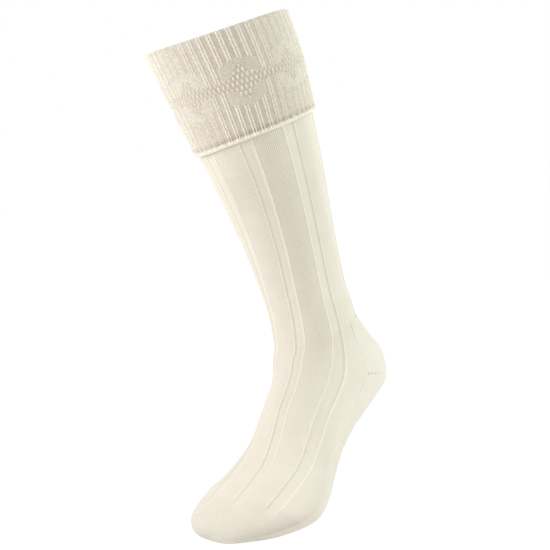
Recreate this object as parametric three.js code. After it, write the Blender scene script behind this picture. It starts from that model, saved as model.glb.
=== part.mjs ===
// Kilt hose sock: a knee-length knitted stocking worn on a leg, with a turned-over patterned cuff.
// Millimetres. The origin is the centre of the top opening, +Z runs up the leg, the toes point
// towards -Y and +X is the outer side of a left foot.
import * as THREE from 'three';

// Heights and reaches
const LEG_RISE = 275.5; // rim of the turned cuff down to the ankle section
const SOLE_DROP = 108; // ankle section down to the lowest point of the sole
const TOE_REACH = 203; // leg axis forward to the toe tip
const HEEL_REACH = 69; // leg axis back to the heel

// Widths and depths over the knitted wall
const LEG_DEPTH = 131; // front to back at the top of the leg
const LEG_WIDTH = 121; // side to side at the top of the leg
const FOOT_WIDTH = 121; // side to side over the toe joints
const FOOT_TURN = -2.2; // degrees that the foot turns inwards from the leg's front

// Knitted walls
const KNIT_WALL = 2.2;
const CUFF_WALL = 2.6;

// Turned cuff
const CUFF_DEPTH = 92; // rim to hem at the front
const HEM_LIFT = 5; // the hem is this much higher at the back
const HEM_FLARE = 0.5; // the hem stands this much further off the leg than the rim does
const CUFF_CLEARANCE = 0.3; // skirt to leg
const CUFF_TURN = -5.5; // degrees from the front to the middle of a diamond

// Clearance between neighbouring pieces of knitting
const SEAM_CLEARANCE = 0.3;

// Knitted pattern, counted in wales, the columns of stitches
const REPEATS = 8; // panels round the leg, and diamonds round the cuff
const REPEAT_WALES = 24; // one plain panel and one purl strip, or one diamond of the cuff
const WALES = Math.round(REPEATS) * REPEAT_WALES;
const PURL_WALES = 6;
const PURL_RECESS = 0.7;
const RIB_WALES = 4; // two knit and two purl wales
const RIB_RELIEF = 0.9;
const DIAMOND_WALES = 16; // ribs are cut off over this width
const DIAMOND_HEIGHT = 42; // and over this height at the middle of the cuff
const DIAMOND_SLOPE = 5; // the cut is this much shorter at the diamond's sides
const DIAMOND_SHARE = 0.8; // the textured middle takes this share of the ground
const DIAMOND_RAISE = 0.6; // and stands this much over it

// Half the wales are the instep and half the sole, and the heel takes the sole's half
const SIDE_WALE = WALES / 4;

// Sections of the leg, from the rim down.
// level: share of LEG_RISE below the rim; front, back: share of LEG_DEPTH from the leg's axis;
// width: share of LEG_WIDTH; lean: share of LEG_WIDTH towards +X;
// rib1, rib2, side: degrees round from the front of the first and second purl strip and of the side wale
const LEG_SECTIONS = [
  { name: 'rim', level: 0, front: 0.5, back: 0.5, width: 1, lean: 0,
    rib1: 23, rib2: 68, side: 90 },
  { name: 'cuff', level: 0.152, front: 0.46, back: 0.49, width: 0.963, lean: 0.02,
    rib1: 23, rib2: 68, side: 90 },
  { name: 'hem', level: 0.325, front: 0.42, back: 0.456, width: 0.86, lean: 0.029,
    rib1: 24, rib2: 68, side: 90 },
  { name: 'calf', level: 0.499, front: 0.374, back: 0.418, width: 0.762, lean: 0.029,
    rib1: 25, rib2: 68, side: 90 },
  { name: 'shin', level: 0.684, front: 0.331, back: 0.35, width: 0.656, lean: 0.028,
    rib1: 22, rib2: 67, side: 91 },
  { name: 'low', level: 0.864, front: 0.325, back: 0.303, width: 0.585, lean: 0.021,
    rib1: 17, rib2: 65, side: 92 },
  { name: 'neck', level: 0.935, front: 0.343, back: 0.3, width: 0.591, lean: 0.0205,
    rib1: 15, rib2: 64, side: 92 },
  { name: 'ankle', level: 1, front: 0.39, back: 0.307, width: 0.6, lean: 0.0225,
    rib1: 13, rib2: 64, side: 91 },
];

// Sections of the foot, fanning round the heel and then forward to the toe tip.
// frontY, backY: share of TOE_REACH forwards when negative and of HEEL_REACH backwards when positive;
// frontZ, backZ: share of SOLE_DROP below the ankle section; width, lean: share of FOOT_WIDTH;
// flat: how far the underside is flattened; the last three columns are as for the leg
const FOOT_SECTIONS = [
  { name: 'fan1', frontY: -0.286, frontZ: 0.074, backY: 0.787, backZ: 0.236, width: 0.64, lean: 0.01,
    flat: 0, rib1: 12.5, rib2: 61, side: 87 },
  { name: 'fan2', frontY: -0.325, frontZ: 0.137, backY: 0.999, backZ: 0.473, width: 0.646, lean: 0.011,
    flat: 0, rib1: 13.5, rib2: 58, side: 86 },
  { name: 'fan3', frontY: -0.364, frontZ: 0.194, backY: 0.907, backZ: 0.723, width: 0.628, lean: 0.012,
    flat: 0, rib1: 14, rib2: 57, side: 88.5 },
  { name: 'fan4', frontY: -0.411, frontZ: 0.262, backY: 0.386, backZ: 0.804, width: 0.617, lean: 0.003,
    flat: 0.12, rib1: 14.5, rib2: 59, side: 93 },
  { name: 'arch', frontY: -0.464, frontZ: 0.357, backY: -0.114, backZ: 0.838, width: 0.64, lean: 0.009,
    flat: 0.23, rib1: 9, rib2: 56, side: 95 },
  { name: 'waist', frontY: -0.552, frontZ: 0.506, backY: -0.328, backZ: 0.868, width: 0.706, lean: 0.017,
    flat: 0.35, rib1: 4.5, rib2: 50.5, side: 94 },
  { name: 'ball', frontY: -0.662, frontZ: 0.607, backY: -0.516, backZ: 0.934, width: 0.853, lean: 0.017,
    flat: 0.35, rib1: 5, rib2: 45, side: 92 },
  { name: 'joint', frontY: -0.773, frontZ: 0.656, backY: -0.668, backZ: 0.979, width: 1, lean: 0.021,
    flat: 0.35, rib1: 3, rib2: 38, side: 90 },
  { name: 'toes', frontY: -0.876, frontZ: 0.727, backY: -0.8, backZ: 0.998, width: 1.01, lean: 0.031,
    flat: 0.35, rib1: -4, rib2: 31, side: 90 },
  { name: 'tip', frontY: -0.954, frontZ: 0.79, backY: -0.906, backZ: 0.971, width: 0.73, lean: 0.023,
    flat: 0.35, rib1: -6, rib2: 32, side: 90 },
  { name: 'nose', frontY: -0.987, frontZ: 0.85, backY: -0.962, backZ: 0.936, width: 0.36, lean: 0.017,
    flat: 0.35, rib1: -6, rib2: 32, side: 90 },
  { name: 'end', frontY: -1, frontZ: 0.884, backY: -0.993, backZ: 0.91, width: 0.1, lean: 0.015,
    flat: 0.35, rib1: -6, rib2: 32, side: 90 },
];

// Stations are places along the sock, counted in sections from the rim
const ANKLE_STATION = LEG_SECTIONS.length - 1;
const HEEL_END_STATION = ANKLE_STATION + 4.3;
const TOE_STATION = ANKLE_STATION + 8.9;
const TOE_SKEW = 0.6; // the toe cap reaches this much further back on the inner side
const TOE_SKEW_FROM = 10; // degrees
const END_STATION = ANKLE_STATION + FOOT_SECTIONS.length;

// Every section in millimetres
function legSection(row) {
  return {
    front: { y: -row.front * LEG_DEPTH, z: -row.level * LEG_RISE },
    back: { y: row.back * LEG_DEPTH, z: -row.level * LEG_RISE },
    halfWidth: row.width * LEG_WIDTH / 2,
    lean: row.lean * LEG_WIDTH,
    flat: 0,
    turn: 0,
    rib1: row.rib1,
    rib2: row.rib2,
    side: row.side,
  };
}

function reach(share) {
  return share < 0 ? share * TOE_REACH : share * HEEL_REACH;
}

function footSection(row, index) {
  return {
    front: { y: reach(row.frontY), z: -LEG_RISE - row.frontZ * SOLE_DROP },
    back: { y: reach(row.backY), z: -LEG_RISE - row.backZ * SOLE_DROP },
    halfWidth: row.width * FOOT_WIDTH / 2,
    lean: row.lean * FOOT_WIDTH,
    flat: row.flat,
    turn: FOOT_TURN * Math.min((index + 1) / 3, 1),
    rib1: row.rib1,
    rib2: row.rib2,
    side: row.side,
  };
}

const SECTIONS = [...LEG_SECTIONS.map(legSection), ...FOOT_SECTIONS.map(footSection)];

// Smooth curve through one value of the sections
function along(station, read) {
  const last = SECTIONS.length - 1;
  const index = Math.min(Math.max(Math.floor(station), 0), last - 1);
  const share = station - index;
  const value = (i) => read(SECTIONS[Math.min(Math.max(i, 0), last)]);
  const before = index > 0 ? value(index - 1) : 2 * value(0) - value(1);
  const after = index + 2 <= last ? value(index + 2) : 2 * value(last) - value(last - 1);
  const start = value(index);
  const end = value(index + 1);
  const bend = 2 * before - 5 * start + 4 * end - after;
  const twist = 3 * start - before - 3 * end + after;
  return start + 0.5 * share * (end - before + share * (bend + share * twist));
}

function sectionAt(station) {
  return {
    frontY: along(station, (s) => s.front.y),
    frontZ: along(station, (s) => s.front.z),
    backY: along(station, (s) => s.back.y),
    backZ: along(station, (s) => s.back.z),
    halfWidth: along(station, (s) => s.halfWidth),
    lean: along(station, (s) => s.lean),
    flat: along(station, (s) => s.flat),
    turn: THREE.MathUtils.degToRad(along(station, (s) => s.turn)),
  };
}

// Point of the sock's outer face at a station and an angle round from the front, in degrees
function facePoint(station, degrees) {
  const section = sectionAt(station);
  const angle = THREE.MathUtils.degToRad(degrees);
  const cosine = Math.cos(angle);
  const power = cosine < 0 ? 1 - section.flat : 1;
  const swing = Math.sign(cosine) * Math.abs(cosine) ** power;
  const x = section.lean + section.halfWidth * Math.sin(angle);
  const y = (section.frontY + section.backY) / 2 + swing * (section.frontY - section.backY) / 2;
  const z = (section.frontZ + section.backZ) / 2 + swing * (section.frontZ - section.backZ) / 2;
  const c = Math.cos(section.turn);
  const s = Math.sin(section.turn);
  return new THREE.Vector3(c * x - s * y, s * x + c * y, z);
}

// Change of the face for one station and for one degree, and the direction that points out of it
const STATION_STEP = 0.02;
const DEGREE_STEP = 0.5;

function faceFrame(station, degrees) {
  const low = Math.max(station - STATION_STEP, 0);
  const high = Math.min(station + STATION_STEP, END_STATION);
  const down = facePoint(high, degrees).sub(facePoint(low, degrees)).divideScalar(high - low);
  const round = facePoint(station, degrees + DEGREE_STEP)
    .sub(facePoint(station, degrees - DEGREE_STEP)).divideScalar(2 * DEGREE_STEP);
  const out = down.clone().cross(round).normalize();
  return { down, round, out };
}

// Angle of a wale: wale 0 is the front, wales run positive towards +X
function waleDegrees(station, wale) {
  const rib1 = along(station, (s) => s.rib1);
  const rib2 = along(station, (s) => s.rib2);
  const side = along(station, (s) => s.side);
  const half = REPEAT_WALES / 2;
  const innerRib = rib1 - (rib2 - rib1);
  const marks = [
    [-2 * SIDE_WALE, -180], [-SIDE_WALE, side - 180], [-half, innerRib], [half, rib1],
    [3 * half, rib2], [SIDE_WALE, side], [2 * SIDE_WALE, 180],
  ];
  const index = marks.findIndex((mark, i) => i > 0 && wale <= mark[0]);
  const [fromWale, fromDegrees] = marks[index - 1];
  const [toWale, toDegrees] = marks[index];
  return fromDegrees + (toDegrees - fromDegrees) * (wale - fromWale) / (toWale - fromWale);
}

// Distance of a wale from the middle of its nearest purl strip. The back is the middle of a panel.
function fromStrip(wale) {
  const inRepeat = (wale + 2 * SIDE_WALE) % REPEAT_WALES;
  return Math.abs(inRepeat - REPEAT_WALES / 2);
}

// Wales of the columns of a tube: the middle and quarters of each plain panel, both sides of each strip's
// edges, and the two side wales
const STRIP_EDGE = 0.6;
const HALF_STRIP = PURL_WALES / 2;
const COLUMN_OFFSETS = [
  0,
  (REPEAT_WALES / 2 - HALF_STRIP) / 2,
  REPEAT_WALES / 2 - HALF_STRIP,
  REPEAT_WALES / 2 - HALF_STRIP + STRIP_EDGE,
  REPEAT_WALES / 2 + HALF_STRIP - STRIP_EDGE,
  REPEAT_WALES / 2 + HALF_STRIP,
  REPEAT_WALES - (REPEAT_WALES / 2 - HALF_STRIP) / 2,
];
const columnSet = new Set([-SIDE_WALE, SIDE_WALE]);
for (let repeat = 0; repeat < Math.round(REPEATS); repeat += 1) {
  for (const offset of COLUMN_OFFSETS) {
    columnSet.add(repeat * REPEAT_WALES + offset - 2 * SIDE_WALE);
  }
}
const COLUMN_WALES = [...columnSet].sort((a, b) => a - b);

// Outer and inner point of the knitted wall. rowNudge and columnNudge of -1 or 1 draw an edge of a piece
// back by half a clearance, and recess sinks the outer face.
function wallPoints(row, wale, columnNudge, recess) {
  const degrees = waleDegrees(Math.min(row.station, END_STATION), wale);
  const skewed = row.station + (row.skew ?? 0) * Math.sin(THREE.MathUtils.degToRad(degrees - TOE_SKEW_FROM));
  const seam = faceFrame(skewed, degrees);
  const station = skewed + (row.nudge ?? 0) * SEAM_CLEARANCE / 2 / seam.down.length();
  const angle = degrees + columnNudge * SEAM_CLEARANCE / 2 / seam.round.length();
  const { out } = faceFrame(station, angle);
  const point = facePoint(station, angle);
  return {
    outer: point.clone().addScaledVector(out, -recess),
    inner: point.clone().addScaledVector(out, -KNIT_WALL),
  };
}

// Closed wall over the cells of a grid of rows and columns that keep() picks.
// A tip closes the last row with a point on each face.
function knittedWall(rows, keep, recessAt, nudgeAt, tip) {
  const columns = COLUMN_WALES.length;
  const positions = [];
  const outer = [];
  const inner = [];
  const addPoint = (point) => positions.push(point.x, point.y, point.z) / 3 - 1;
  for (const [r, row] of rows.entries()) {
    outer.push([]);
    inner.push([]);
    for (const wale of COLUMN_WALES) {
      const points = wallPoints(row, wale, nudgeAt(wale), recessAt(r, wale));
      outer[r].push(addPoint(points.outer));
      inner[r].push(addPoint(points.inner));
    }
  }
  const faces = [];
  const quad = (a, b, c, d) => faces.push(a, b, c, a, c, d);
  const kept = (r, c) => r >= 0 && r < rows.length - 1 && keep(r, COLUMN_WALES[c]);
  for (let r = 0; r < rows.length - 1; r += 1) {
    for (let c = 0; c < columns; c += 1) {
      if (!kept(r, c)) continue;
      const next = (c + 1) % columns;
      quad(outer[r][c], outer[r + 1][c], outer[r + 1][next], outer[r][next]);
      quad(inner[r][c], inner[r][next], inner[r + 1][next], inner[r + 1][c]);
      if (!kept(r - 1, c)) quad(outer[r][c], outer[r][next], inner[r][next], inner[r][c]);
      if (!kept(r + 1, c) && !(tip && r === rows.length - 2)) {
        quad(outer[r + 1][c], inner[r + 1][c], inner[r + 1][next], outer[r + 1][next]);
      }
      if (!kept(r, (c + columns - 1) % columns)) {
        quad(outer[r][c], inner[r][c], inner[r + 1][c], outer[r + 1][c]);
      }
      if (!kept(r, next)) {
        quad(outer[r][next], outer[r + 1][next], inner[r + 1][next], inner[r][next]);
      }
    }
  }
  if (tip) {
    const last = rows.length - 1;
    for (const [ring, flip] of [[outer[last], false], [inner[last], true]]) {
      const middle = new THREE.Vector3();
      for (const index of ring) {
        middle.add(new THREE.Vector3(...positions.slice(3 * index, 3 * index + 3)));
      }
      const pole = addPoint(middle.divideScalar(columns));
      for (let c = 0; c < columns; c += 1) {
        const next = (c + 1) % columns;
        if (flip) faces.push(ring[c], ring[next], pole);
        else faces.push(ring[next], ring[c], pole);
      }
    }
  }
  return closedGeometry(positions, faces);
}

// Geometry of the points that the faces use
function closedGeometry(positions, faces) {
  const renumbered = new Map();
  const kept = [];
  const index = faces.map((old) => {
    if (!renumbered.has(old)) {
      renumbered.set(old, renumbered.size);
      kept.push(positions[3 * old], positions[3 * old + 1], positions[3 * old + 2]);
    }
    return renumbered.get(old);
  });
  const geometry = new THREE.BufferGeometry();
  geometry.setAttribute('position', new THREE.Float32BufferAttribute(kept, 3));
  geometry.setIndex(index);
  geometry.computeVertexNormals();
  return geometry;
}

// Purl strips are sunk in the plain face
function purlRecess(wale) {
  return fromStrip(wale) <= HALF_STRIP - STRIP_EDGE + 1e-6 ? PURL_RECESS : 0;
}

const allCells = () => true;
const noRecess = () => 0;
const noNudge = () => 0;

// Station of the leg at a depth below the rim
function stationAtDepth(depth) {
  let low = 0;
  let high = ANKLE_STATION;
  for (let step = 0; step < 40; step += 1) {
    const middle = (low + high) / 2;
    if (-sectionAt(middle).frontZ < depth) low = middle;
    else high = middle;
  }
  return (low + high) / 2;
}

// Leg: a tube from under the cuff's roll to the ankle
function legGeometry() {
  const top = stationAtDepth(CUFF_WALL + SEAM_CLEARANCE);
  const rows = [{ station: top }];
  const bands = 9;
  for (let band = 1; band < bands; band += 1) {
    rows.push({ station: top + (ANKLE_STATION - top) * band / bands });
  }
  rows.push({ station: ANKLE_STATION, nudge: -1 });
  return knittedWall(rows, allCells, (row, wale) => purlRecess(wale), noNudge, false);
}

// Rows of the heel, which the instep shares
const HEEL_BANDS = 7;

function heelRow(band, firstNudge, lastNudge) {
  const station = ANKLE_STATION + (HEEL_END_STATION - ANKLE_STATION) * band / HEEL_BANDS;
  if (band === 0) return { station, nudge: firstNudge };
  if (band === HEEL_BANDS) return { station, nudge: lastNudge };
  return { station };
}

// A cell starts at its wale and runs to the next one
function inSole(wale) {
  return wale < -SIDE_WALE || wale >= SIDE_WALE;
}

// Heel: a pocket over the sole's half of the wales
function heelGeometry() {
  const rows = [];
  for (let band = 0; band <= HEEL_BANDS; band += 1) {
    rows.push(heelRow(band, 1, -1));
  }
  const nudge = (wale) => (Math.abs(wale) === SIDE_WALE ? Math.sign(wale) : 0);
  return knittedWall(rows, (row, wale) => inSole(wale), noRecess, nudge, false);
}

// Foot: the instep beside the heel, then the whole tube up to the toe cap
function footGeometry() {
  const rows = [];
  for (let band = 0; band <= HEEL_BANDS; band += 1) {
    rows.push(heelRow(band, 1, 1));
  }
  const bands = 8;
  for (let band = 1; band <= bands; band += 1) {
    const share = band / bands;
    const station = HEEL_END_STATION + (TOE_STATION - HEEL_END_STATION) * share;
    rows.push({ station, skew: TOE_SKEW * share, nudge: band === bands ? -1 : 0 });
  }
  const keep = (row, wale) => row >= HEEL_BANDS || !inSole(wale);
  const recess = (row, wale) => (inSole(wale) ? 0 : purlRecess(wale));
  const nudge = (wale) => (Math.abs(wale) === SIDE_WALE ? -Math.sign(wale) : 0);
  return knittedWall(rows, keep, recess, nudge, false);
}

// Toe: a plain cap that closes the foot
function toeGeometry() {
  const rows = [{ station: TOE_STATION, skew: TOE_SKEW, nudge: 1 }];
  const bands = 6;
  for (let band = 1; band <= bands; band += 1) {
    const share = band / bands;
    const station = TOE_STATION + (END_STATION - TOE_STATION) * share;
    rows.push({ station, skew: TOE_SKEW * (1 - share) });
  }
  return knittedWall(rows, allCells, noRecess, noNudge, true);
}

// Relief of the cuff's outer face at a wale, counted from the middle of a diamond, and a depth below
// the rim: ribs with sunk wales between them, a sunk ground that cuts them off, and a raised diamond on it
function cuffRelief(wale, sunk, depth, cuffMiddle) {
  const inRepeat = (wale + REPEAT_WALES / 2) % REPEAT_WALES - REPEAT_WALES / 2;
  const acrossDiamond = Math.abs(inRepeat) / (DIAMOND_WALES / 2);
  const groundHalf = DIAMOND_HEIGHT / 2 - DIAMOND_SLOPE * acrossDiamond;
  const fromMiddle = Math.abs(depth - cuffMiddle);
  if (acrossDiamond <= 1 && fromMiddle < groundHalf) {
    const inDiamond = acrossDiamond + fromMiddle / groundHalf < DIAMOND_SHARE;
    return inDiamond ? DIAMOND_RAISE - RIB_RELIEF : -RIB_RELIEF;
  }
  return sunk ? -RIB_RELIEF : 0;
}

// Cuff: a section that runs up the skirt's outer face, over the roll and down the skirt's inner face,
// turned round the leg. Each row has a distance off the leg's outer face and a depth below the rim.
function cuffGeometry() {
  const columns = 2 * Math.round(WALES / RIB_WALES);
  const rimOut = CUFF_CLEARANCE + CUFF_WALL;
  const rollMiddle = (rimOut - KNIT_WALL) / 2;
  const rollHalf = (rimOut + KNIT_WALL) / 2;
  const flareAt = (depth) => HEM_FLARE * depth / CUFF_DEPTH;
  const middle = CUFF_DEPTH / 2;
  const bandDepths = [0.5, 0.42, 0.3, 0.23, 0.18, 0.1, 0, -0.1, -0.18, -0.23, -0.34, -0.44]
    .map((share) => middle + share * CUFF_DEPTH);
  const section = [];
  for (const depth of bandDepths) {
    section.push({ off: rimOut + flareAt(depth), depth, relief: true });
  }
  for (const degrees of [20, 55, 90, 125, 160]) {
    const angle = THREE.MathUtils.degToRad(degrees);
    section.push({
      off: rollMiddle + rollHalf * Math.cos(angle),
      depth: CUFF_WALL * (1 - Math.sin(angle)),
      relief: false,
    });
  }
  section.push({ off: -KNIT_WALL, depth: CUFF_WALL, relief: false });
  section.push({ off: CUFF_CLEARANCE, depth: CUFF_WALL, relief: false });
  for (const share of [0.33, 0.66, 1]) {
    const depth = share * CUFF_DEPTH;
    section.push({ off: CUFF_CLEARANCE + flareAt(depth), depth, relief: false });
  }
  const positions = [];
  for (const row of section) {
    for (let column = 0; column < columns; column += 1) {
      const wale = column * WALES / columns;
      const degrees = CUFF_TURN + column * 360 / columns;
      const lift = HEM_LIFT * (1 - Math.cos(THREE.MathUtils.degToRad(degrees))) / 2;
      const depth = row.depth * (1 - lift / CUFF_DEPTH);
      const station = stationAtDepth(depth);
      const { out } = faceFrame(station, degrees);
      const relief = row.relief ? cuffRelief(wale, column % 2 === 0, row.depth, middle) : 0;
      const level = new THREE.Vector3(out.x, out.y, 0).normalize();
      const point = facePoint(station, degrees).addScaledVector(level, row.off + relief);
      positions.push(point.x, point.y, point.z);
    }
  }
  const faces = [];
  for (let row = 0; row < section.length; row += 1) {
    const nextRow = (row + 1) % section.length;
    for (let column = 0; column < columns; column += 1) {
      const next = (column + 1) % columns;
      const a = row * columns + column;
      const b = row * columns + next;
      const c = nextRow * columns + next;
      const d = nextRow * columns + column;
      faces.push(a, b, c, a, c, d);
    }
  }
  return closedGeometry(positions, faces);
}

function addPiece(group, name, geometry, colour, roughness) {
  const material = new THREE.MeshStandardMaterial({ color: colour, roughness, metalness: 0 });
  const mesh = new THREE.Mesh(geometry, material);
  mesh.name = name;
  group.add(mesh);
}

const sock = new THREE.Group();
addPiece(sock, 'turnover_cuff', cuffGeometry(), 0xf2e9d8, 0.95);
addPiece(sock, 'leg', legGeometry(), 0xf4ecdb, 0.92);
addPiece(sock, 'heel', heelGeometry(), 0xf5eedc, 0.9);
addPiece(sock, 'foot', footGeometry(), 0xf4ecdb, 0.92);
addPiece(sock, 'toe', toeGeometry(), 0xf5eedc, 0.9);

export default sock;
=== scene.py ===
"""Knitted looks of a kilt hose sock, in metres and in the frame of its solids.

The sock keeps its worn form: a leg tube, a heel pocket, a foot tube, a toe cap, and a patterned cuff
turned down over the leg. Every piece is knitted on the same form from the same stitch columns (wales)
and stitch rows (courses), so the ribs run on from piece to piece.
"""

import logging
import math
from dataclasses import dataclass, field
from enum import Enum

import bpy
import numpy as np
from mathutils import Matrix, Vector


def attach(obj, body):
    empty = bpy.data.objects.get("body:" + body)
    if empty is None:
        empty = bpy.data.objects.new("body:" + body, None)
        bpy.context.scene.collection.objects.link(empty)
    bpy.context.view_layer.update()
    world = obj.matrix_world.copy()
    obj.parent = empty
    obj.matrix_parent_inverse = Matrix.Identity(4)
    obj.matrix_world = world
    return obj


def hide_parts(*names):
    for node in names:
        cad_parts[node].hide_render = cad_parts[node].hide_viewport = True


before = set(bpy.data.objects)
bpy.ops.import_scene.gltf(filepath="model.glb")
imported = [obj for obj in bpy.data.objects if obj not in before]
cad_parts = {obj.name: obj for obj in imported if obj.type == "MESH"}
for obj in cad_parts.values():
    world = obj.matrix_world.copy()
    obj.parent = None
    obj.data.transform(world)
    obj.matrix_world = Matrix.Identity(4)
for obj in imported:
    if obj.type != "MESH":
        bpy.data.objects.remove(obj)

LOG = logging.getLogger("sock")
PHOTO_WIDTH = 550
SENSOR = 36.0
MM = 0.001
KNIT_MAP = "Knit"
PURL_TAG = "Purl"
# Vertex attribute of painted shade: the share by which each vertex's colour is darkened.
PAINTED_SHADE_TAG = "PaintedShade"
Socket = bpy.types.NodeSocket


def bell(distance: np.ndarray, width: float) -> np.ndarray:
    """Smooth bump: 1 at distance 0, fading over the width on both sides."""
    return np.exp(-((distance / width) ** 2))


class Stitch(Enum):
    """How a stitch lies: its face to the outside, its back to the outside, or the two in turn."""

    KNIT = "knit"
    PURL = "purl"
    MOSS = "moss"


@dataclass(frozen=True)
class LegRow:
    """Section of the leg.

    level is a share of the leg's rise below the rim, front and back shares of its depth, width and lean
    shares of its width; rib1, rib2 and side are degrees round from the front of the first and second
    purl strip and of the side wale.
    """

    name: str
    level: float
    front: float
    back: float
    width: float
    lean: float
    rib1: float
    rib2: float
    side: float


@dataclass(frozen=True)
class FootRow:
    """Section of the foot.

    front_y and back_y are shares of the toe's reach forwards when negative and of the heel's reach
    backwards when positive; front_z and back_z shares of the sole's drop below the ankle; width and lean
    shares of the foot's width; flat tells how far the underside is flattened.
    """

    name: str
    front_y: float
    front_z: float
    back_y: float
    back_z: float
    width: float
    lean: float
    flat: float
    rib1: float
    rib2: float
    side: float


LEG_ROWS = (
    LegRow("rim", 0, 0.5, 0.5, 1, 0, 23, 68, 90),
    LegRow("cuff", 0.152, 0.46, 0.49, 0.963, 0.02, 23, 68, 90),
    LegRow("hem", 0.325, 0.42, 0.456, 0.86, 0.029, 24, 68, 90),
    LegRow("calf", 0.499, 0.374, 0.418, 0.762, 0.029, 25, 68, 90),
    LegRow("shin", 0.684, 0.331, 0.35, 0.656, 0.028, 22, 67, 91),
    LegRow("low", 0.864, 0.325, 0.303, 0.585, 0.021, 17, 65, 92),
    LegRow("neck", 0.935, 0.343, 0.3, 0.591, 0.0205, 15, 64, 92),
    LegRow("ankle", 1, 0.39, 0.307, 0.6, 0.0225, 13, 64, 91),
)
FOOT_ROWS = (
    FootRow("fan1", -0.286, 0.074, 0.787, 0.236, 0.64, 0.01, 0, 12.5, 61, 87),
    FootRow("fan2", -0.325, 0.137, 0.999, 0.473, 0.646, 0.011, 0, 13.5, 58, 86),
    FootRow("fan3", -0.364, 0.194, 0.907, 0.723, 0.628, 0.012, 0, 14, 57, 88.5),
    FootRow("fan4", -0.411, 0.262, 0.386, 0.804, 0.617, 0.003, 0.12, 14.5, 59, 93),
    FootRow("arch", -0.464, 0.357, -0.114, 0.838, 0.64, 0.009, 0.23, 9, 56, 95),
    FootRow("waist", -0.552, 0.506, -0.328, 0.868, 0.706, 0.017, 0.35, 4.5, 50.5, 94),
    FootRow("ball", -0.662, 0.607, -0.516, 0.934, 0.853, 0.017, 0.35, 5, 45, 85),
    FootRow("joint", -0.773, 0.656, -0.668, 0.979, 1, 0.021, 0.35, 3, 38, 74),
    FootRow("toes", -0.876, 0.727, -0.8, 0.998, 1.01, 0.031, 0.35, -4, 31, 66),
    FootRow("tip", -0.954, 0.79, -0.906, 0.971, 0.73, 0.023, 0.35, -6, 32, 66),
    FootRow("nose", -0.987, 0.85, -0.962, 0.936, 0.36, 0.017, 0.35, -6, 32, 66),
    FootRow("end", -1, 0.884, -0.993, 0.91, 0.1, 0.015, 0.35, -6, 32, 66),
)


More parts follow.
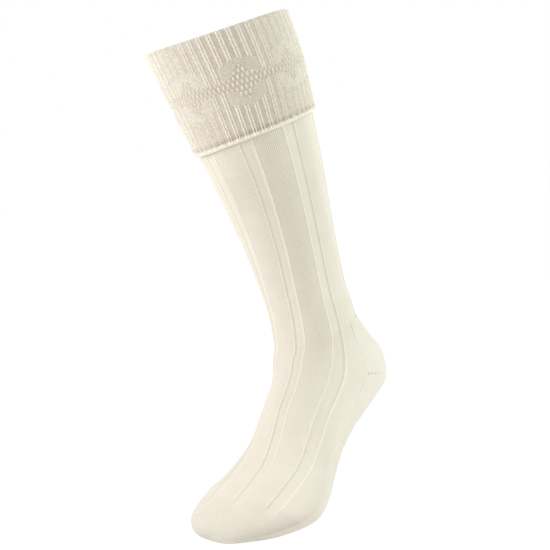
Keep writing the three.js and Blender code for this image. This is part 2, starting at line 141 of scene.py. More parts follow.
@dataclass
class SockForm:
    """Worn form of the sock: a smooth surface over stations along it and degrees round it.

    Depths, widths, reaches and sags are in metres and angles in degrees. heel_length, toe_after and
    toe_skew are in stations, which count the rows of the tables from the rim.
    """

    leg_rise: float = 275.5 * MM
    sole_drop: float = 108 * MM
    toe_reach: float = 203 * MM
    heel_reach: float = 69 * MM
    leg_depth: float = 131 * MM
    leg_width: float = 121 * MM
    foot_width: float = 121 * MM
    foot_turn: float = -2.2
    turn_rows: int = 3
    repeats: int = 8
    repeat_wales: int = 24
    leg_rows: tuple[LegRow, ...] = LEG_ROWS
    foot_rows: tuple[FootRow, ...] = FOOT_ROWS
    heel_length: float = 4.3
    toe_after: float = 8.9
    toe_skew: float = 0.6
    toe_skew_from: float = 10.0
    usual_pitch: float = 1.5 * MM
    rim_sag: float = 2.6 * MM
    rim_sag_side: float = 34.0
    hem_sag: float = 3.2 * MM
    hem_sag_side: float = -50.0
    cuff_depth: float = 92 * MM
    table: np.ndarray = field(init=False, repr=False)

    FRONT_Y, FRONT_Z, BACK_Y, BACK_Z, HALF_WIDTH, LEAN, FLAT, TURN, RIB1, RIB2, SIDE = range(11)
    STATION_STEP = 0.02
    DEGREE_STEP = 0.5
    LEAST_LENGTH = 1e-12
    DEPTH_SAMPLES = 600
    LINE_SAMPLES = 400

    def __post_init__(self) -> None:
        """Works the sections out in metres, one line of the table for each."""
        lines = []
        for row in self.leg_rows:
            level = -row.level * self.leg_rise
            lines.append((
                -row.front * self.leg_depth, level, row.back * self.leg_depth, level,
                row.width * self.leg_width / 2, row.lean * self.leg_width, 0, 0,
                row.rib1, row.rib2, row.side,
            ))
        for index, row in enumerate(self.foot_rows):
            lines.append((
                self.reach(row.front_y), -self.leg_rise - row.front_z * self.sole_drop,
                self.reach(row.back_y), -self.leg_rise - row.back_z * self.sole_drop,
                row.width * self.foot_width / 2, row.lean * self.foot_width, row.flat,
                self.foot_turn * min((index + 1) / self.turn_rows, 1), row.rib1, row.rib2, row.side,
            ))
        inside = np.array(lines, float)
        before = 2 * inside[:1] - inside[1:2]
        after = 2 * inside[-1:] - inside[-2:-1]
        self.table = np.vstack((before, inside, after))

    @property
    def wales(self) -> int:
        """Stitch columns round the sock."""
        return self.repeats * self.repeat_wales

    @property
    def side_wale(self) -> float:
        """Wale where the instep meets the sole."""
        return self.wales / 4

    @property
    def back_wale(self) -> float:
        """Wale of the back, where the columns of a whole tube start."""
        return -self.wales / 2

    @property
    def ankle_station(self) -> float:
        """Station where the heel pocket starts."""
        return len(self.leg_rows) - 1

    @property
    def heel_end_station(self) -> float:
        """Station where the heel pocket ends."""
        return self.ankle_station + self.heel_length

    @property
    def toe_station(self) -> float:
        """Station where the toe cap starts."""
        return self.ankle_station + self.toe_after

    @property
    def end_station(self) -> float:
        """Station of the toe's tip."""
        return self.ankle_station + len(self.foot_rows)

    def reach(self, share: float) -> float:
        """Place along the foot of a share of its reach."""
        return share * (self.toe_reach if share < 0 else self.heel_reach)

    def along(self, station: np.ndarray, column: int) -> np.ndarray:
        """Smooth curve through one column of the sections.

        Args:
            station: places along the sock, counted in sections from the rim.
            column: column of the table.

        Returns:
            The column's value at each station.
        """
        last = len(self.table) - 3
        index = np.clip(np.floor(station), 0, last - 1).astype(int)
        share = station - index
        before, start, end, after = (self.table[index + step, column] for step in range(4))
        bend = 2 * before - 5 * start + 4 * end - after
        twist = 3 * start - before - 3 * end + after
        return start + 0.5 * share * (end - before + share * (bend + share * twist))

    def face(self, station: np.ndarray, degrees: np.ndarray) -> np.ndarray:
        """Points of the form's outer face.

        Args:
            station: places along the sock.
            degrees: angles round it from the front.

        Returns:
            One point for each pair, in metres.
        """
        station, degrees = np.broadcast_arrays(np.asarray(station, float), np.asarray(degrees, float))
        angle = np.radians(degrees)
        cosine = np.cos(angle)
        power = np.where(cosine < 0, 1 - self.along(station, self.FLAT), 1)
        swing = np.sign(cosine) * np.abs(cosine) ** power
        front_y, front_z = self.along(station, self.FRONT_Y), self.along(station, self.FRONT_Z)
        back_y, back_z = self.along(station, self.BACK_Y), self.along(station, self.BACK_Z)
        x = self.along(station, self.LEAN) + self.along(station, self.HALF_WIDTH) * np.sin(angle)
        y = (front_y + back_y) / 2 + swing * (front_y - back_y) / 2
        z = (front_z + back_z) / 2 + swing * (front_z - back_z) / 2
        turn = np.radians(self.along(station, self.TURN))
        c, s = np.cos(turn), np.sin(turn)
        return np.stack((c * x - s * y, s * x + c * y, z), axis=-1)

    def outward(self, station: np.ndarray, degrees: np.ndarray) -> np.ndarray:
        """Directions that point out of the form at stations and angles."""
        low = np.maximum(station - self.STATION_STEP, 0)
        high = np.minimum(station + self.STATION_STEP, self.end_station)
        down = self.face(high, degrees) - self.face(low, degrees)
        ahead = self.face(station, degrees + self.DEGREE_STEP)
        out = np.cross(down, ahead - self.face(station, degrees - self.DEGREE_STEP))
        return out / np.maximum(np.linalg.norm(out, axis=-1, keepdims=True), self.LEAST_LENGTH)

    def wale_degrees(self, station: np.ndarray, wale: np.ndarray) -> np.ndarray:
        """Angles of wales at stations: wale 0 is the front, and wales run positive towards +X."""
        station, wale = np.broadcast_arrays(np.asarray(station, float), np.asarray(wale, float))
        rib1, rib2 = self.along(station, self.RIB1), self.along(station, self.RIB2)
        side = self.along(station, self.SIDE)
        half, quarter = self.repeat_wales / 2, self.side_wale
        marks = np.array((-2 * quarter, -quarter, -half, half, 3 * half, quarter, 2 * quarter))
        whole = np.full_like(side, 180.0)
        degrees = np.stack((-whole, side - 180, 2 * rib1 - rib2, rib1, rib2, side, whole), axis=-1)
        index = np.clip(np.searchsorted(marks, wale, side="left") - 1, 0, len(marks) - 2)
        start = np.take_along_axis(degrees, index[..., None], axis=-1)[..., 0]
        end = np.take_along_axis(degrees, index[..., None] + 1, axis=-1)[..., 0]
        return start + (end - start) * (wale - marks[index]) / (marks[index + 1] - marks[index])

    def station_at_depth(self, depth: np.ndarray) -> np.ndarray:
        """Stations of the leg at depths below the rim."""
        stations = np.linspace(0, self.ankle_station, self.DEPTH_SAMPLES)
        return np.interp(depth, -self.along(stations, self.FRONT_Z), stations)

    def sag(self, degrees: np.ndarray, depth: np.ndarray) -> np.ndarray:
        """How far the rim sags on the outer front side, and the hem on the inner front side."""
        rim = np.clip(np.cos(np.radians(degrees - self.rim_sag_side)), 0, 1) ** 2
        hem = np.clip(np.cos(np.radians(degrees - self.hem_sag_side)), 0, 1) ** 2
        share = np.clip(depth / self.cuff_depth, 0, 1)
        return self.rim_sag * rim * (1 - share) + self.hem_sag * hem * share**2

    def toe_slant(self, degrees: np.ndarray) -> np.ndarray:
        """How many stations further along the toe's seam lies at angles round the foot."""
        return self.toe_skew * np.sin(np.radians(degrees - self.toe_skew_from))

    def courses_along(
        self, start: float, end: float, degrees: float, course: float
    ) -> tuple[np.ndarray, np.ndarray]:
        """Counts the courses along one wale line of the form.

        Args:
            start: first station.
            end: last station.
            degrees: angle of the line.
            course: height of a course.

        Returns:
            The stations and the courses counted up to each.
        """
        stations = np.linspace(start, end, self.LINE_SAMPLES)
        points = self.face(stations, np.full_like(stations, degrees))
        steps = np.linalg.norm(np.diff(points, axis=0), axis=1)
        return stations, np.concatenate(((0,), np.cumsum(steps))) / course


@dataclass(frozen=True)
class CrispRow:
    """How deep the grooves are at a station of the leg or instep, 1 being their full depth."""

    name: str
    station: float
    crisp: float


CRISP_ROWS = (
    CrispRow("rim", 0, 1),
    CrispRow("calf", 3, 1),
    CrispRow("shin", 4.2, 0.7),
    CrispRow("low", 5.2, 0.45),
    CrispRow("neck", 6.2, 0.6),
    CrispRow("ankle", 7.2, 0.7),
    CrispRow("instep", 9, 0.3),
)


@dataclass
class KnitLayout:
    """Stitches on the form: plain panels with sunk purl strips between them.

    Widths across the knit are in wales, depths and the height of a course in metres, and shades are
    shares of darkness painted into the colour.
    """

    purl_wales: float = 6
    purl_recess: float = 0.85 * MM
    strip_edge: float = 0.55
    ridge_swell: float = 0.36 * MM
    ridge_from_edge: float = 0.5
    ridge_width: float = 0.4
    line_from_edge: float = -0.4
    line_width: float = 0.3
    panel_crown: float = 0.12 * MM
    wale_groove: float = 0.36 * MM
    groove_start: float = 0.34
    course: float = 1.55 * MM
    columns_per_wale: int = 3
    crisp_rows: tuple[CrispRow, ...] = CRISP_ROWS
    foot_crisp: float = 0.3
    tip_crisp: float = 1
    # Painted shade: a base darkening of the panels that the ridge wales are spared, which paints a
    # highlight along them; darker grooves; darker purl strips; and a painted dark line inside each strip's
    # edge.
    plain_shade: float = 0.2
    groove_shade: float = 0.36
    groove_shade_lost: float = 0.6
    purl_shade: float = 0.24
    line_shade: float = 0.34

    def beyond_strip(self, wale: np.ndarray, form: SockForm) -> np.ndarray:
        """Distances, in wales, out from the edge of the nearest purl strip, negative inside it."""
        in_repeat = np.mod(wale - form.back_wale, form.repeat_wales)
        return np.abs(in_repeat - form.repeat_wales / 2) - self.purl_wales / 2

    def purl_share(self, wale: np.ndarray, form: SockForm) -> np.ndarray:
        """1 in the purl strips, 0 on the panels, and a short slope between."""
        return 1 - np.clip(self.beyond_strip(wale, form) / self.strip_edge + 1, 0, 1)

    def crispness(self, station: np.ndarray, form: SockForm) -> np.ndarray:
        """How deep the grooves are along the sock: the knit is stretched smooth over the foot."""
        places = [row.station for row in self.crisp_rows] + [form.toe_station, form.end_station]
        crisps = [row.crisp for row in self.crisp_rows] + [self.foot_crisp, self.tip_crisp]
        return np.interp(station, places, crisps)

    def wale_relief(self, wale: np.ndarray, crisp: np.ndarray) -> np.ndarray:
        """Fine groove between neighbouring wales, of a crispness between 0 and 1."""
        inside = np.abs(np.mod(wale, 1) - 0.5) * 2
        slope = np.clip((inside - self.groove_start) / (1 - self.groove_start), 0, 1)
        return -self.wale_groove * crisp * slope

    def ridge(self, wale: np.ndarray, form: SockForm) -> np.ndarray:
        """1 along the wales that border a purl strip, fading to 0 beside them."""
        return bell(self.beyond_strip(wale, form) - self.ridge_from_edge, self.ridge_width)

    def painted_shade(
        self, wale: np.ndarray, purl: np.ndarray, crisp: np.ndarray, ribbed: np.ndarray, form: SockForm
    ) -> np.ndarray:
        """Painted shade: how far the colour darkens in the grooves, in the sunk strips and along their
        edges.

        Args:
            wale: wale of each vertex.
            purl: share of purl.
            crisp: crispness of the grooves.
            ribbed: 1 where the strips are worked, 0 where the knit is plain.
            form: the form that tells the repeat.

        Returns:
            A share of painted shade for each vertex.
        """
        groove = -self.wale_relief(wale, crisp) / self.wale_groove
        # Painted highlight: the wales that border a strip lose the panels' base shade.
        plain = self.plain_shade * (1 - self.ridge(wale, form) * ribbed)
        grooved = self.groove_shade * groove * (1 - self.groove_shade_lost * purl)
        # Painted shadow: a dark line just inside each strip's edge, below the step down into the strip.
        line = bell(self.beyond_strip(wale, form) - self.line_from_edge, self.line_width)
        line *= self.line_shade * np.clip(2 * purl, 0, 1)
        return np.maximum.reduce((plain + grooved, self.purl_shade * purl, line))

    def panel_relief(self, wale: np.ndarray, crisp: np.ndarray, form: SockForm) -> np.ndarray:
        """Relief of the ribbed face: grooves, strips, and the swell of the wales that border a strip."""
        purl = self.purl_share(wale, form)
        panel_half = (form.repeat_wales - self.purl_wales) / 2
        crown = np.cos(np.clip(self.beyond_strip(wale, form) / panel_half, 0, 1) * math.pi)
        relief = self.wale_relief(wale, crisp) - self.purl_recess * purl
        return relief + self.ridge_swell * self.ridge(wale, form) - self.panel_crown * crown * (1 - purl)


@dataclass(frozen=True)
class Noise:
    """How fine a noise is, how many finer ones it holds, and how strong those are."""

    scale: float
    detail: float
    rough: float


@dataclass(frozen=True)
class KnitFinish:
    """Wool of a piece: colour of the loops, the darker colour of painted shade between them, sheen and
    stitch depth.
    """

    name: str
    slot: str
    loop: tuple[float, float, float]
    # Colour that painted shade darkens towards, in the gaps between the stitches and where the knit is
    # sunk.
    gap: tuple[float, float, float]
    roughness: float = 0.88
    sheen: float = 0.3
    sheen_roughness: float = 0.55
    sheen_tint: tuple[float, float, float, float] = (1.0, 0.97, 0.9, 1.0)
    shine: float = 0.25
    stitch_depth: float = 0.16 * MM
    fibre_depth: float = 0.035 * MM
    loop_slant: float = 1.1
    purl_arc: float = 0.25
    purl_heights: tuple[float, float] = (0.3, 0.6)
    grain: float = 0.07
    # contrast and mean set how strongly the stitch height is painted into the colour as shade.
    contrast: float = 0.28
    mean: float = 0.86
    noise_span: tuple[float, float] = (0.3, 0.7)
    value_spread: tuple[float, float] = (0.985, 1.015)
    saturation_spread: tuple[float, float] = (1.05, 0.95)
    fibres: Noise = Noise(1900, 3, 0.6)
    fluff: Noise = Noise(620, 2, 0.6)
    melange: Noise = Noise(60, 3, 0.55)

    def build(self, wales: float, courses: float) -> bpy.types.Material:
        """Makes the procedural material.

        Args:
            wales: stitch columns over the width of the piece's own map.
            courses: stitch rows over its height.

        Returns:
            A material whose stitches follow the map and whose fibres follow the object.
        """
        material = bpy.data.materials.new(self.name)
        material.use_nodes = True
        bench = NodeBench(material.node_tree)
        shader = bench.node("ShaderNodeBsdfPrincipled")
        shader.inputs["Roughness"].default_value = self.roughness
        shader.inputs["Sheen Weight"].default_value = self.sheen
        shader.inputs["Sheen Roughness"].default_value = self.sheen_roughness
        shader.inputs["Sheen Tint"].default_value = self.sheen_tint
        shader.inputs["Specular IOR Level"].default_value = self.shine
        output = bench.node("ShaderNodeOutputMaterial")
        bench.join(shader.outputs["BSDF"], output.inputs["Surface"])

        stitch = self.stitch(bench, wales, courses)
        place = bench.node("ShaderNodeTexCoord").outputs["Object"]
        fluff = bench.noise(place, self.fluff)
        colour = self.colour(bench, stitch, fluff, bench.noise(place, self.melange))
        bench.join(colour, shader.inputs["Base Color"])
        loops = bench.bump(stitch, self.stitch_depth)
        fuzz = bench.maths("ADD", bench.noise(place, self.fibres), fluff)
        bench.join(bench.bump(fuzz, self.fibre_depth, loops), shader.inputs["Normal"])
        return material

    def stitch(self, bench: "NodeBench", wales: float, courses: float) -> Socket:
        """Height of the stitches: two slanting legs for a knit loop, an arc for a purl one.

        Args:
            bench: the material's nodes.
            wales: stitch columns over the map.
            courses: stitch rows over it.

        Returns:
            The height, between 0 and 1.
        """
        chart = bench.node("ShaderNodeUVMap")
        chart.uv_map = KNIT_MAP
        split = bench.split(chart.outputs["UV"])
        wale = bench.maths("MULTIPLY", split["X"], wales)
        course = bench.maths("MULTIPLY", split["Y"], courses)
        from_middle = bench.maths("SUBTRACT", bench.maths("FRACT", wale), 0.5)
        aside = bench.maths("ABSOLUTE", from_middle)
        legs = bench.maths("SINE", bench.maths("MULTIPLY", aside, 2 * math.pi))
        slant = bench.maths("ADD", course, bench.maths("MULTIPLY", aside, self.loop_slant))
        twist = bench.maths("ADD", bench.maths("MULTIPLY", bench.wave(slant), 0.5), 0.5)
        knit = bench.maths("MULTIPLY", legs, twist)
        arc = bench.maths("MULTIPLY", bench.wave(from_middle), self.purl_arc)
        purl = bench.remap(bench.wave(bench.maths("ADD", course, arc)), (0, 1), self.purl_heights)
        return bench.blend(bench.attribute(PURL_TAG), knit, purl)

    def colour(self, bench: "NodeBench", stitch: Socket, fluff: Socket, melange: Socket) -> Socket:
        """Colour of the wool with painted shade: darker in the gaps and where the knit lies sunk, and a
        little uneven.

        Args:
            bench: the material's nodes.
            stitch: height of the stitches.
            fluff: noise of the loose fibres.
            melange: noise of the yarn's colour.

        Returns:
            The colour.
        """
        # Painted shade of the stitches: lighter on their crowns, darker in their hollows.
        painted_stitch_shade = bench.remap(stitch, (0, 1), (self.mean - self.contrast / 2, self.mean + self.contrast / 2))
        speckle = bench.remap(fluff, self.noise_span, (1 - self.grain, 1 + self.grain / 2))
        # Painted shade: the colour is darkened by the share stored at each vertex.
        lit = bench.maths("SUBTRACT", 1.0, bench.attribute(PAINTED_SHADE_TAG))
        shaded = bench.maths("MULTIPLY", bench.maths("MULTIPLY", painted_stitch_shade, speckle), lit)
        uneven = bench.node("ShaderNodeHueSaturation")
        bench.join(bench.mix(shaded, self.gap, self.loop), uneven.inputs["Color"])
        for socket, spread in (("Value", self.value_spread), ("Saturation", self.saturation_spread)):
            bench.join(bench.remap(melange, self.noise_span, spread), uneven.inputs[socket])
        return uneven.outputs["Color"]


class NodeBench:
    """Makes and joins the nodes of one material."""

    PER_LINE = 10
    SPACING = (220, -320)

    def __init__(self, tree: bpy.types.NodeTree) -> None:
        """Starts from an empty tree."""
        self.tree = tree
        self.tree.nodes.clear()

    def node(self, kind: str) -> bpy.types.Node:
        """Adds a node at the next free place of the layout."""
        line, place = divmod(len(self.tree.nodes), self.PER_LINE)
        node = self.tree.nodes.new(kind)
        node.location = (place * self.SPACING[0], line * self.SPACING[1])
        return node

    def join(self, source: Socket, target: Socket) -> None:
        """Links two sockets."""
        self.tree.links.new(source, target)

    def feed(self, value: Socket | float, socket: Socket) -> None:
        """Links a socket, or sets a number."""
        if isinstance(value, Socket):
            self.join(value, socket)
        else:
            socket.default_value = value

    def maths(self, operation: str, first: Socket | float, second: Socket | float | None = None) -> Socket:
        """Adds a Math node.

        Args:
            operation: name of the operation.
            first: socket or number.
            second: socket or number, where the operation takes two.

        Returns:
            The node's result.
        """
        node = self.node("ShaderNodeMath")
        node.operation = operation
        self.feed(first, node.inputs[0])
        if second is not None:
            self.feed(second, node.inputs[1])
        return node.outputs[0]

    def wave(self, phase: Socket) -> Socket:
        """Cosine wave between 0 and 1, one for each whole step of the phase."""
        cosine = self.maths("COSINE", self.maths("MULTIPLY", phase, 2 * math.pi))
        return self.maths("ADD", self.maths("MULTIPLY", cosine, 0.5), 0.5)

    def split(self, vector: Socket) -> bpy.types.NodeOutputs:
        """Takes a vector apart into X, Y and Z."""
        node = self.node("ShaderNodeSeparateXYZ")
        self.join(vector, node.inputs["Vector"])
        return node.outputs

    def attribute(self, name: str) -> Socket:
        """Reads a value that the piece stores at its vertices."""
        node = self.node("ShaderNodeAttribute")
        node.attribute_name = name
        return node.outputs["Fac"]

    def blend(self, share: Socket, first: Socket | float, second: Socket | float) -> Socket:
        """Mixes two values."""
        node = self.node("ShaderNodeMix")
        node.data_type = "FLOAT"
        self.feed(share, node.inputs[0])
        self.feed(first, node.inputs[2])
        self.feed(second, node.inputs[3])
        return node.outputs[0]

    def mix(self, share: Socket, first: tuple, second: tuple) -> Socket:
        """Mixes two colours."""
        node = self.node("ShaderNodeMix")
        node.data_type = "RGBA"
        self.feed(share, node.inputs[0])
        node.inputs[6].default_value = (*first, 1.0)
        node.inputs[7].default_value = (*second, 1.0)
        return node.outputs[2]

    def noise(self, place: Socket, grain: Noise) -> Socket:
        """Adds a noise texture and returns its value."""
        node = self.node("ShaderNodeTexNoise")
        self.join(place, node.inputs["Vector"])
        node.inputs["Scale"].default_value = grain.scale
        node.inputs["Detail"].default_value = grain.detail
        node.inputs["Roughness"].default_value = grain.rough
        return node.outputs["Fac"]

    def remap(self, value: Socket, span: tuple[float, float], target: tuple[float, float]) -> Socket:
        """Maps one span of values on to another and holds what lies outside it at the ends."""
        node = self.node("ShaderNodeMapRange")
        self.join(value, node.inputs["Value"])
        for socket, number in zip(("From Min", "From Max", "To Min", "To Max"), (*span, *target)):
            node.inputs[socket].default_value = number
        return node.outputs["Result"]

    def bump(self, height: Socket, depth: float, under: Socket | None = None) -> Socket:
        """Raises a height of a given depth on the surface, or on another bump."""
        node = self.node("ShaderNodeBump")
        node.inputs["Strength"].default_value = 1.0
        node.inputs["Distance"].default_value = depth
        self.join(height, node.inputs["Height"])
        if under is not None:
            self.join(under, node.inputs["Normal"])
        return node.outputs["Normal"]


@dataclass
class Grid:
    """Stitch grid of a piece: what each vertex of a primitive stands for."""

    piece: bpy.types.Object
    columns: int
    column: np.ndarray
    row: np.ndarray

    @property
    def mesh(self) -> bpy.types.Mesh:
        """Mesh of the piece."""
        return self.piece.data


class Bench:
    """Knitting bench: primitives and the hand operations that the pieces share."""

    RING_THICKNESS = 0.25
    MERGE_DISTANCE = 1e-6
    SMOOTH_ANGLE = 70

    @staticmethod
    def clear_selection() -> None:
        """Leaves nothing selected."""
        bpy.ops.object.select_all(action="DESELECT")

    @staticmethod
    def added(name: str) -> bpy.types.Object:
        """Names the primitive that was just added."""
        piece = bpy.context.active_object
        piece.name = name
        piece.data.name = name
        return piece

    @staticmethod
    def places(mesh: bpy.types.Mesh) -> np.ndarray:
        """Vertex places of a mesh."""
        places = np.empty(3 * len(mesh.vertices), np.float32)
        mesh.vertices.foreach_get("co", places)
        return places.reshape(-1, 3).astype(float)

    @staticmethod
    def move(mesh: bpy.types.Mesh, places: np.ndarray) -> None:
        """Moves every vertex of a mesh."""
        mesh.vertices.foreach_set("co", places.astype(np.float32).ravel())
        mesh.update()

    @classmethod
    def ring(cls, name: str, columns: int, rows: int) -> Grid:
        """Rolls a sheet into a ring, which is a tube with an outer and an inner wall.

        Args:
            name: name of the piece.
            columns: columns round the tube.
            rows: rows down its outer wall and up its inner one.

        Returns:
            The grid of the new piece.
        """
        grid = cls.sheet(name, columns, rows)
        round_ring = grid.column / columns * 2 * math.pi
        round_wall = grid.row / rows * 2 * math.pi
        reach = 1 + cls.RING_THICKNESS * np.cos(round_wall)
        height = cls.RING_THICKNESS * np.sin(round_wall)
        places = (reach * np.cos(round_ring), reach * np.sin(round_ring), height)
        cls.move(grid.mesh, np.stack(places, axis=-1))
        ends = (grid.column == 0) | (grid.column == columns) | (grid.row == 0) | (grid.row == rows)
        cls.join(grid, ends)
        grid.column %= columns
        grid.row %= rows
        return grid

    @classmethod
    def ball(cls, name: str, columns: int, rows: int) -> Grid:
        """Adds a ball, whose lower half is pushed into the upper one to make a cap.

        Args:
            name: name of the piece.
            columns: columns round the cap.
            rows: rows from the outer pole to the inner one, poles counted.

        Returns:
            The grid of the new piece.
        """
        cls.clear_selection()
        bpy.ops.mesh.primitive_uv_sphere_add(segments=columns, ring_count=rows - 1, radius=1.0)
        piece = cls.added(name)
        places = cls.places(piece.data)
        round_ball = np.arctan2(places[:, 1], places[:, 0])
        column = np.rint(round_ball / (2 * math.pi) * columns).astype(int) % columns
        row = np.rint(np.arccos(np.clip(places[:, 2], -1, 1)) / math.pi * (rows - 1)).astype(int)
        return Grid(piece, columns, column, row)

    @classmethod
    def sheet(cls, name: str, columns: int, rows: int) -> Grid:
        """Adds an open sheet.

        Args:
            name: name of the piece.
            columns: cells across.
            rows: cells down.

        Returns:
            The grid of the new piece.
        """
        cls.clear_selection()
        bpy.ops.mesh.primitive_grid_add(x_subdivisions=columns, y_subdivisions=rows, size=2.0)
        piece = cls.added(name)
        places = cls.places(piece.data)
        column = np.rint((places[:, 0] + 1) / 2 * columns).astype(int)
        row = np.rint((places[:, 1] + 1) / 2 * rows).astype(int)
        return Grid(piece, columns, column, row)

    @staticmethod
    def write_tags(grid: Grid) -> None:
        """Keeps each vertex's column and row in the mesh, for operations that renumber it."""
        for name, values in (("column", grid.column), ("row", grid.row)):
            layer = grid.mesh.attributes.new(name, "INT", "POINT")
            layer.data.foreach_set("value", values.astype(np.int32))

    @staticmethod
    def join(grid: Grid, border: np.ndarray) -> None:
        """Merges the vertices of a border that lie in the same place."""
        mesh = grid.mesh
        Bench.write_tags(grid)
        bpy.ops.object.mode_set(mode="EDIT")
        bpy.ops.mesh.select_all(action="DESELECT")
        bpy.ops.object.mode_set(mode="OBJECT")
        mesh.vertices.foreach_set("select", border)
        bpy.ops.object.mode_set(mode="EDIT")
        bpy.ops.mesh.remove_doubles(threshold=Bench.MERGE_DISTANCE)
        bpy.ops.object.mode_set(mode="OBJECT")
        Bench.read_tags(grid)

    @staticmethod
    def read_tags(grid: Grid) -> None:
        """Takes the columns and rows back from the mesh after an operation has renumbered it."""
        count = len(grid.mesh.vertices)
        for name in ("column", "row"):
            values = np.empty(count, np.int32)
            grid.mesh.attributes[name].data.foreach_get("value", values)
            setattr(grid, name, values.astype(int))

    @staticmethod
    def cut_faces(grid: Grid, doomed: np.ndarray) -> None:
        """Deletes faces of a sheet in edit mode.

        Args:
            grid: the sheet.
            doomed: True for each face to delete.
        """
        bpy.ops.object.mode_set(mode="EDIT")
        bpy.ops.mesh.select_mode(type="FACE")
        bpy.ops.mesh.select_all(action="DESELECT")
        bpy.ops.object.mode_set(mode="OBJECT")
        grid.mesh.polygons.foreach_set("select", doomed)
        bpy.ops.object.mode_set(mode="EDIT")
        bpy.ops.mesh.delete(type="FACE")
        bpy.ops.mesh.select_mode(type="VERT")
        bpy.ops.object.mode_set(mode="OBJECT")
        Bench.read_tags(grid)

    @staticmethod
    def thicken(grid: Grid, wall: float) -> None:
        """Gives a sheet its wall; the new inner vertices follow the outer ones in the same order."""
        count = len(grid.mesh.vertices)
        solid = grid.piece.modifiers.new("wall", "SOLIDIFY")
        solid.thickness = wall
        solid.offset = -1.0
        bpy.ops.object.modifier_apply(modifier=solid.name)
        if len(grid.mesh.vertices) != 2 * count:
            raise ValueError(f"{grid.piece.name}: the wall has an unexpected number of vertices")
        Bench.read_tags(grid)

    @staticmethod
    def corners(mesh: bpy.types.Mesh) -> np.ndarray:
        """Vertex of each corner of a mesh's faces."""
        corners = np.empty(len(mesh.loops), np.int32)
        mesh.loops.foreach_get("vertex_index", corners)
        return corners

    @staticmethod
    def chart(grid: Grid, across: np.ndarray, down: np.ndarray, whole: bool) -> None:
        """Lays the piece's own map over its faces.

        Args:
            grid: the piece.
            across: place across the map of each vertex.
            down: place down the map of each vertex.
            whole: whether the columns close on themselves, so that the last ones end at 1.
        """
        mesh = grid.mesh
        while mesh.uv_layers:
            mesh.uv_layers.remove(mesh.uv_layers[0])
        layer = mesh.uv_layers.new(name=KNIT_MAP)
        corners = Bench.corners(mesh)
        starts = np.empty(len(mesh.polygons), np.int32)
        mesh.polygons.foreach_get("loop_start", starts)
        u = across[corners].copy()
        if whole:
            counts = np.diff(np.append(starts, len(corners)))
            widest = np.repeat(np.maximum.reduceat(u, starts), counts)
            u = np.where(widest - u > 0.5, u + 1, u)
        pairs = np.stack((u, down[corners]), axis=-1)
        layer.data.foreach_set("uv", pairs.astype(np.float32).ravel())

    @staticmethod
    def tag(grid: Grid, name: str, values: np.ndarray) -> None:
        """Stores a value between 0 and 1 at each vertex for the material to read."""
        mesh = grid.mesh
        layer = mesh.attributes.new(name, "FLOAT", "POINT")
        layer.data.foreach_set("value", np.clip(values, 0, 1).astype(np.float32))

    @staticmethod
    def finish(grid: Grid, node: str, finish: KnitFinish, courses: float, wales: float) -> bpy.types.Object:
        """Faces a piece outwards, smooths it, dresses it and sets it in the frame.

        Args:
            grid: the piece.
            node: the solid that it stands for.
            finish: its wool.
            courses: stitch rows over its map.
            wales: stitch columns over its map.

        Returns:
            The finished piece.
        """
        piece, mesh = grid.piece, grid.mesh
        for name in ("column", "row"):
            if name in mesh.attributes:
                mesh.attributes.remove(mesh.attributes[name])
        if Bench.volume(mesh) < 0:
            bpy.ops.object.mode_set(mode="EDIT")
            bpy.ops.mesh.select_all(action="SELECT")
            bpy.ops.mesh.flip_normals()
            bpy.ops.object.mode_set(mode="OBJECT")
        bpy.ops.object.shade_smooth_by_angle(angle=math.radians(Bench.SMOOTH_ANGLE))
        mesh.materials.clear()
        mesh.materials.append(finish.build(wales, courses))
        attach(piece, "root")
        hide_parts(node)
        return piece

    @staticmethod
    def volume(mesh: bpy.types.Mesh) -> float:
        """Signed volume inside a closed mesh."""
        mesh.calc_loop_triangles()
        corners = np.empty(3 * len(mesh.loop_triangles), np.int32)
        mesh.loop_triangles.foreach_get("vertices", corners)
        a, b, c = (Bench.places(mesh)[corners.reshape(-1, 3)[:, i]] for i in range(3))
        return float(np.einsum("ij,ij->i", a, np.cross(b, c)).sum() / 6)


